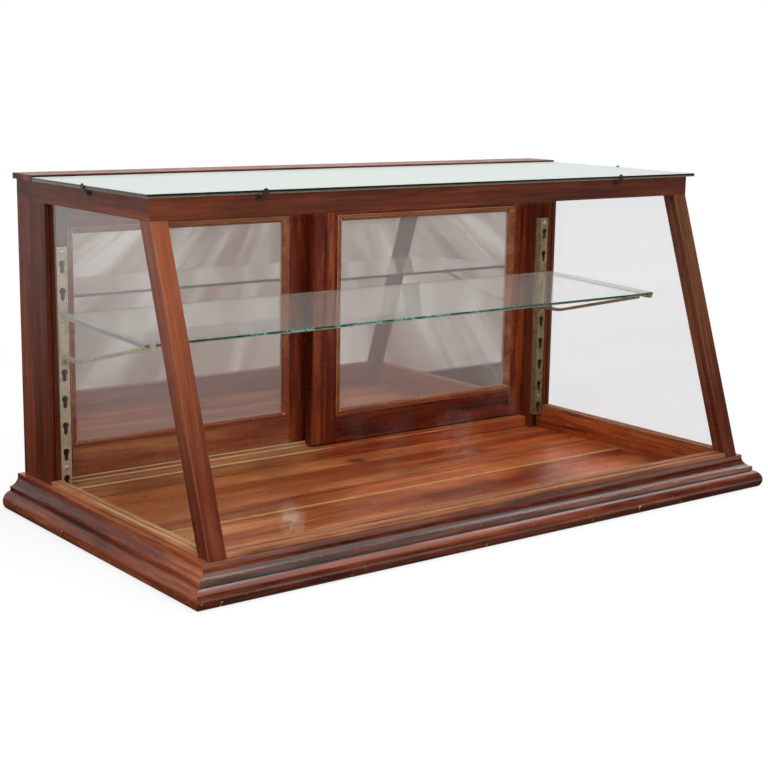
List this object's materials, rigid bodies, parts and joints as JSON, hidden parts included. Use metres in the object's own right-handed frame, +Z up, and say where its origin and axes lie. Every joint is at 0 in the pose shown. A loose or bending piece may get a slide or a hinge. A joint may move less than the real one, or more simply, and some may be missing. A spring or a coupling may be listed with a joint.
{
  "type": "counter-top display case",
  "caption": "Old counter-top shop display case: slanted glass front, moulded wooden base, glass top, glass shelf on keyhole brackets and sliding mirror doors behind.",
  "frame": {"origin": "middle of the overall box, on the surface the base stands on", "axes": "+X to the right along the case's length seen from the slanted front, +Y towards the doors at the back, +Z up"},
  "size_m": [1.026, 0.5426, 0.4813],
  "materials": {
    "frame_wood": "worn dark mahogany varnish",
    "floor_wood": "worn reddish mahogany",
    "bead_wood": "worn to pale wood",
    "panel_wood": "unvarnished thin board",
    "clear_glass": "polished",
    "shelf_glass": "polished, dark green edges",
    "mirror": "silvered glass",
    "plated_steel": "dull nickel plate",
    "dark_steel": "blackened with age",
    "brass": "dull old brass"
  },
  "bodies": {
    "case": {"back_top_board": "frame_wood", "base_rail_front": "frame_wood", "base_rail_left": "frame_wood", "base_rail_right": "frame_wood", "clip_screws": "dark_steel", "door_header": "frame_wood", "door_jamb_left": "frame_wood", "door_jamb_right": "frame_wood", "door_sill": "floor_wood", "floor_board_front": "floor_wood", "floor_board_rear": "floor_wood", "front_pane": "clear_glass", "front_post_left": "frame_wood", "front_post_right": "frame_wood", "glass_clips": "dark_steel", "inner_bead_front": "bead_wood", "inner_bead_left": "bead_wood", "inner_bead_right": "bead_wood", "outer_bead_front": "bead_wood", "outer_bead_left": "bead_wood", "outer_bead_right": "bead_wood", "rear_bead_left": "bead_wood", "rear_bead_right": "bead_wood", "rear_post_left": "frame_wood", "rear_post_right": "frame_wood", "shelf_standard_left": "plated_steel", "shelf_standard_right": "plated_steel", "side_pane_left": "clear_glass", "side_pane_right": "clear_glass", "standard_screws": "plated_steel", "top_glass": "clear_glass", "top_rail_front": "frame_wood", "top_rail_left": "frame_wood", "top_rail_right": "frame_wood"},
    "left_door": {"left_door_back_panel": "panel_wood", "left_door_bottom_rail": "frame_wood", "left_door_finger_pull": "brass", "left_door_glides": "brass", "left_door_meeting_stile": "frame_wood", "left_door_mirror": "mirror", "left_door_moulding": "frame_wood", "left_door_outer_stile": "frame_wood", "left_door_top_rail": "frame_wood"},
    "right_door": {"right_door_back_panel": "panel_wood", "right_door_bottom_rail": "frame_wood", "right_door_finger_pull": "brass", "right_door_glides": "brass", "right_door_meeting_stile": "frame_wood", "right_door_mirror": "mirror", "right_door_moulding": "frame_wood", "right_door_outer_stile": "frame_wood", "right_door_top_rail": "frame_wood"},
    "left_bracket": {"bracket_plate_left": "plated_steel", "bracket_arm_left": "plated_steel", "bracket_brace_left": "plated_steel"},
    "right_bracket": {"bracket_plate_right": "plated_steel", "bracket_arm_right": "plated_steel", "bracket_brace_right": "plated_steel"},
    "shelf": {"glass_shelf": "shelf_glass"}
  },
  "joints": [
    {"name": "left_door_slide", "type": "slide", "parent": "case", "child": "left_door", "axis": [1, 0, 0], "range_m": [0, 0.45]},
    {"name": "right_door_slide", "type": "slide", "parent": "case", "child": "right_door", "axis": [-1, 0, 0], "range_m": [0, 0.45]},
    {"name": "left_bracket_unhook", "type": "slide", "parent": "case", "child": "left_bracket", "axis": [0, 0, 1], "range_m": [0, 0.0103]},
    {"name": "right_bracket_unhook", "type": "slide", "parent": "case", "child": "right_bracket", "axis": [0, 0, 1], "range_m": [0, 0.0103]},
    {"name": "shelf_lift", "type": "slide", "parent": "left_bracket", "child": "shelf", "axis": [0, 0, 1], "range_m": [0, 0.025]}
  ],
  "couplings": [
    {"joint": "right_bracket_unhook", "follows": "left_bracket_unhook", "ratio": 1}
  ]
}
